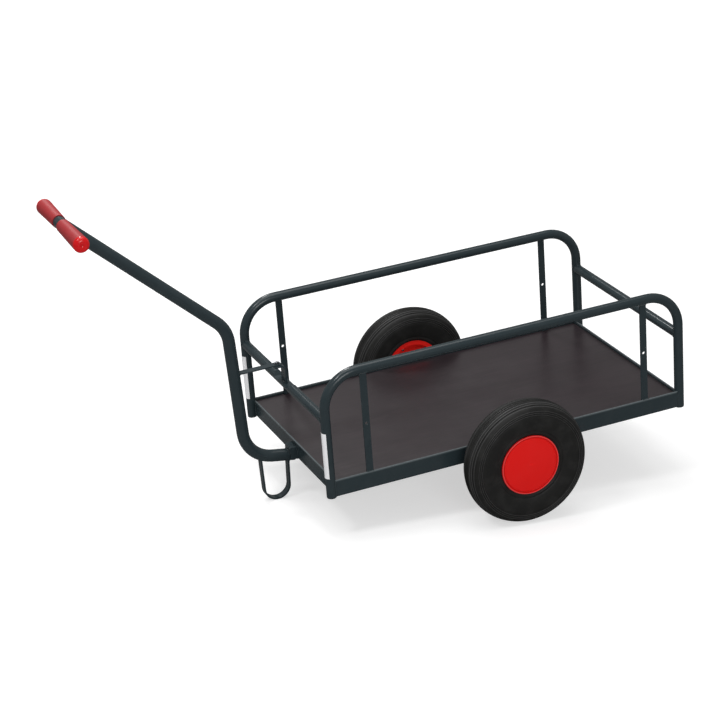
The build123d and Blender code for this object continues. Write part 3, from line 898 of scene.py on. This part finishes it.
SHANK_RADIUS, SHANK_SHORT = 0.004, 0.002
WASHER_THICKNESS, WASHER_OVERLAP = 0.0014, 0.0002
HEAD_BEVEL = 0.0009
# the thread: pitch, depth, how far it stands under the nut and runs up into it
THREAD_PITCH, THREAD_DEPTH, THREAD_BELOW, THREAD_ABOVE = 0.00125, 0.0007, 0.0016, 0.001
# where in a pitch its crest and its root are
THREAD_CREST, THREAD_ROOT, THREAD_STEPS = 0.3, 0.8, 24
# its tip: distances in from the shank's radius, and height
TIP_INSET, TIP_EDGE, TIP_HEIGHT = 0.0009, 0.0002, 0.0007
BOLT_SMOOTH_ANGLE = 30


class CART_OT_fasteners(bpy.types.Operator):
    """The brace's bolt with its washers and nut."""
    bl_idname = "cart.fasteners"
    bl_label = "Fasteners"

    def execute(self, context):
        sizes = context.scene.cart_sizes
        low, high = deck_box("brace_bolt")
        middle = (low + high) / 2
        across = min(high.x - low.x, high.y - low.y)
        under_head, over_nut = high.z - sizes.head_height, low.z + sizes.head_height
        bolt = join_on_deck("brace_bolt_made", [
            self.hexagon(across, sizes.head_height, middle, under_head, 1),
            self.hexagon(across, sizes.head_height, middle, low.z, -1),
            *(self.disc(sizes.washer_radius, WASHER_THICKNESS, middle, level)
              for level in (under_head + WASHER_OVERLAP, over_nut - WASHER_OVERLAP)),
            self.thread(SHANK_RADIUS, middle, low.z - THREAD_BELOW, low.z + THREAD_ABOVE),
            self.disc(SHANK_RADIUS, high.z - low.z - SHANK_SHORT, middle,
                      (high.z + low.z) / 2),
        ])
        settle(bolt, "cart", "zinc", "zinc_plate", node="brace_bolt", angle=BOLT_SMOOTH_ANGLE)
        return {"FINISHED"}

    def hexagon(self, across, height, middle, foot, facing):
        """Hexagon with its outer face bevelled."""
        deselect()
        bpy.ops.mesh.primitive_cylinder_add(vertices=6, radius=across / 3 ** 0.5, depth=height,
                                            location=(middle.x, middle.y, foot + height / 2))
        piece = bpy.context.object
        bpy.ops.object.mode_set(mode="EDIT")
        bpy.ops.mesh.select_all(action="DESELECT")
        bpy.ops.object.mode_set(mode="OBJECT")
        for face in piece.data.polygons:
            face.select = face.normal.z * facing > 0.9
        bpy.ops.object.mode_set(mode="EDIT")
        bpy.ops.mesh.select_mode(type="FACE")
        bpy.ops.mesh.bevel(offset=HEAD_BEVEL, segments=2)
        bpy.ops.object.mode_set(mode="OBJECT")
        return piece

    def disc(self, radius, height, middle, centre):
        """Washer or shank."""
        deselect()
        bpy.ops.mesh.primitive_cylinder_add(vertices=32, radius=radius, depth=height,
                                            location=(middle.x, middle.y, centre))
        return bpy.context.object

    def thread(self, radius, middle, foot, top):
        """The bolt's threaded end: rings of one pitch, chamfered at the tip."""
        level = foot + TIP_HEIGHT
        points = [(0, foot), (radius - TIP_INSET, foot), (radius - TIP_EDGE, level)]
        while level + THREAD_PITCH < top:
            points += [(radius, level + THREAD_PITCH * THREAD_CREST),
                       (radius - THREAD_DEPTH, level + THREAD_PITCH * THREAD_ROOT)]
            level += THREAD_PITCH
        points.append((radius - THREAD_DEPTH, top))
        return spin_profile("thread", [(middle.x + at, middle.y, z) for at, z in points],
                            (middle.x, middle.y, foot), (0, 0, 1), THREAD_STEPS)


# Valves

# turned profiles as (radius, distance outwards from the rim's inner edge)
STEM_PROFILE = ((0.0, 0.034), (0.0052, 0.034), (0.0046, 0.022), (0.0036, 0.016),
                (0.0036, 0.010), (0.0, 0.010))
CAP_PROFILE = ((0.0, 0.012), (0.0042, 0.012), (0.0044, 0.004), (0.0040, 0.0006),
               (0.0030, 0.0), (0.0, 0.0))
VALVE_STEPS = 20


class CART_OT_valves(bpy.types.Operator):
    """Valve stems with caps on the inner side of both rims."""
    bl_idname = "cart.valves"
    bl_label = "Valves"

    def execute(self, context):
        sizes = context.scene.cart_sizes
        turn = sizes.valve_angle - DECK.to_euler().y
        for side, sign in SIDES:
            low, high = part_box(f"rim_{side}")
            centre = box_middle(f"rim_{side}")
            place = Vector((centre.x + sizes.valve_radius * cos(turn),
                            outer(low[1], high[1], -sign),
                            centre.z + sizes.valve_radius * sin(turn)))
            for name, profile, slot, material in (
                    ("valve_stem", STEM_PROFILE, "tyre_rubber", "black_plastic"),
                    ("valve_cap", CAP_PROFILE, "zinc", "zinc_plate")):
                points = [place + Vector((at, sign * out, 0)) for at, out in profile]
                piece = spin_profile(f"{name}_{side}", points, place, (0, 1, 0), VALVE_STEPS)
                settle(piece, f"wheel_{side}", slot, material)
        return {"FINISHED"}


# Plugs

# a plug's rim: distance in from the post's skin and height under its end; its stem:
# distance in from the rim and reach up the post
PLUG_INSET, PLUG_RIM, STEM_INSET, STEM_REACH = 0.0006, 0.0012, 0.0022, 0.006
# a hair between the plug and the post's end
PLUG_GAP = 0.0002
DOME_STEPS, PLUG_STEPS, PLUG_SMOOTH_ANGLE = 6, 40, 40


class CART_OT_plugs(bpy.types.Operator):
    """Domed plastic plugs in the lower ends of the four posts."""
    bl_idname = "cart.plugs"
    bl_label = "Plugs"

    def execute(self, context):
        sizes = context.scene.cart_sizes
        pieces = []
        for side, _ in SIDES:
            low, high = deck_box(f"hoop_{side}")
            radius = (high.y - low.y) / 2
            y = (high.y + low.y) / 2
            for x in (low.x + radius, high.x - radius):
                points = [(x + at, y, z) for at, z in self.profile(radius, low.z, sizes)]
                pieces.append(spin_profile("plug", points, (x, y, low.z), (0, 0, 1),
                                           PLUG_STEPS))
        plugs = join_on_deck("post_plugs", pieces)
        settle(plugs, "cart", "tyre_rubber", "black_plastic", angle=PLUG_SMOOTH_ANGLE)
        return {"FINISHED"}

    def profile(self, radius, end, sizes):
        """Half a plug as (distance from its axis, height), from its stem to the dome."""
        rim = radius - PLUG_INSET
        quarter = [step * pi / 2 / DOME_STEPS for step in range(DOME_STEPS)]
        dome = [(rim * cos(turn), end - PLUG_RIM - sizes.plug_dome * sin(turn))
                for turn in quarter]
        return [(0.0, end + STEM_REACH), (rim - STEM_INSET, end + STEM_REACH),
                (rim - STEM_INSET, end - PLUG_GAP), (rim, end - PLUG_GAP), *dome,
                (0.0, end - PLUG_RIM - sizes.plug_dome)]


# Studio

# The camera was fitted to the photograph in the deck's own frame.
CAMERA_PLACE = (2.84908, 6.26635, 3.19901)
CAMERA_TURN, CAMERA_HEIGHT, CAMERA_ROLL = 68.635, 23.716, -4.621
CAMERA_LENS = dict(lens=113.415, sensor_width=36.0, shift_x=0.0164, shift_y=-0.00364,
                   clip_end=60.0)
FLOOR_SIZE, FLOOR_ROUGHNESS, FLOOR_SPECULAR, FLOOR_TONE = 60.0, 0.9, 0.1, 0.985
# light that only the camera sees on the floor: from and to distance, from and to strength
FLOOR_LIGHT = (1.2, 9.0, 0.56, 0.85)
FLOOR_MIRRORED = (0.16, 0.16, 0.16, 1)
WHITE = (1, 1, 1, 1)
# strength of the world as light and in reflections
WORLD_LEVEL, WORLD_MIRRORED = 0.40, 0.24
# name, place, size, power
LAMPS = (("top_box", (0.3, -0.4, 5.2), 4.5, 130.0), ("key_lamp", (3.4, 1.2, 5.0), 1.0, 60.0),
         ("edge_lamp", (0.4, -4.4, 4.9), 0.9, 80.0), ("fill_lamp", (0.6, 5.6, 2.4), 2.2, 75.0))
LAMP_TARGET = (0, 0, 0.3)


class CART_OT_studio(bpy.types.Operator):
    """Camera at the photograph's view, a plain pale floor and soft light."""
    bl_idname = "cart.studio"
    bl_label = "Studio"

    def execute(self, context):
        scene = context.scene
        scene.view_settings.view_transform = "Standard"
        self.camera(scene)
        self.ground(scene.cart_colours)
        self.world(scene)
        self.lamps(scene)
        return {"FINISHED"}

    def camera(self, scene):
        """The photograph's view."""
        data = bpy.data.cameras.new("photo_view")
        for key, value in CAMERA_LENS.items():
            setattr(data, key, value)
        camera = bpy.data.objects.new("photo_view", data)
        scene.collection.objects.link(camera)
        turn, height, roll = map(radians, (CAMERA_TURN, CAMERA_HEIGHT, CAMERA_ROLL))
        back = Vector((cos(turn) * cos(height), sin(turn) * cos(height), sin(height)))
        flat = Vector((0, 0, 1)).cross(back).normalized()
        upright = back.cross(flat)
        right = flat * cos(roll) + upright * sin(roll)
        pose = Matrix((right, back.cross(right), back)).transposed().to_4x4()
        camera.matrix_world = DECK @ Matrix.Translation(CAMERA_PLACE) @ pose
        scene.camera = camera

    def ground(self, colours):
        """A floor that shows white to the camera and keeps the cart's shadow."""
        deselect()
        bpy.ops.mesh.primitive_plane_add(size=FLOOR_SIZE, location=(0, 0, 0))
        floor = bpy.context.object
        floor.name = "studio_floor"
        material = bpy.data.materials.new("studio_ground")
        material.use_nodes = True
        tree = material.node_tree
        rays = tree.nodes.new("ShaderNodeLightPath").outputs
        away = vector_maths(tree, "LENGTH", object_place(tree))
        seen = maths(tree, "MULTIPLY", rays["Is Camera Ray"], ramp(tree, away, *FLOOR_LIGHT))
        darker = [channel * FLOOR_TONE for channel in colours.ground]
        patches = noise(tree, None, scale=3.0, detail=3.0)
        shade = mix_colours(tree, patches, (*colours.ground, 1), (*darker, 1))
        base = mix_colours(tree, rays["Is Glossy Ray"], shade, FLOOR_MIRRORED)
        fed(tree, tree.nodes["Principled BSDF"], Base_Color=base, Roughness=FLOOR_ROUGHNESS,
            Specular_IOR_Level=FLOOR_SPECULAR, Emission_Color=WHITE, Emission_Strength=seen)
        floor.data.materials.append(material)

    def world(self, scene):
        """An even world, white to the camera and darker in reflections."""
        world = bpy.data.worlds.new("studio_world")
        scene.world = world
        world.use_nodes = True
        tree = world.node_tree
        rays = tree.nodes.new("ShaderNodeLightPath").outputs
        seen = maths(tree, "MAXIMUM", rays["Is Camera Ray"], rays["Is Transmission Ray"])
        gleam = maths(tree, "MULTIPLY", rays["Is Glossy Ray"], WORLD_MIRRORED - WORLD_LEVEL)
        strength = maths(tree, "ADD", maths(tree, "MULTIPLY", seen, 1 - WORLD_LEVEL),
                         maths(tree, "ADD", gleam, WORLD_LEVEL))
        fed(tree, tree.nodes["Background"], Color=WHITE, Strength=strength)

    def lamps(self, scene):
        """A broad box overhead, and lamps ahead and to both sides for the highlights."""
        for name, place, size, power in LAMPS:
            data = bpy.data.lights.new(name, "AREA")
            data.energy = power
            data.size = size
            lamp = bpy.data.objects.new(name, data)
            scene.collection.objects.link(lamp)
            lamp.location = place
            aim = Vector(LAMP_TARGET) - Vector(place)
            lamp.rotation_euler = aim.to_track_quat("-Z", "Y").to_euler()


class CART_PT_panel(bpy.types.Panel):
    """Lists the cart's colours, sizes and operators."""
    bl_idname = "CART_PT_panel"
    bl_label = "Hand cart"
    bl_space_type = "VIEW_3D"
    bl_region_type = "UI"
    bl_category = "Hand cart"

    def draw(self, context):
        for group in (context.scene.cart_colours, context.scene.cart_sizes):
            box = self.layout.box()
            for key in group.__annotations__:
                box.prop(group, key)
        for operator in OPERATORS:
            self.layout.operator(operator.bl_idname)


OPERATORS = (CART_OT_finishes, CART_OT_tyres, CART_OT_welds, CART_OT_fasteners,
             CART_OT_valves, CART_OT_plugs, CART_OT_studio)
CLASSES = (CartColours, CartSizes, *OPERATORS, CART_PT_panel)


def register():
    """Adds the settings, operators and panel."""
    for item in CLASSES:
        bpy.utils.register_class(item)
    bpy.types.Scene.cart_colours = PointerProperty(type=CartColours)
    bpy.types.Scene.cart_sizes = PointerProperty(type=CartSizes)


def unregister():
    """Takes them away again."""
    del bpy.types.Scene.cart_sizes
    del bpy.types.Scene.cart_colours
    for item in reversed(CLASSES):
        bpy.utils.unregister_class(item)


def main():
    """Dresses the cart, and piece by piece."""
    register()
    bpy.ops.cart.finishes()
    bpy.ops.cart.tyres()
    bpy.ops.cart.welds()
    bpy.ops.cart.fasteners()
    bpy.ops.cart.valves()
    bpy.ops.cart.plugs()
    bpy.ops.cart.studio()


if __name__ == "__main__":
    main()
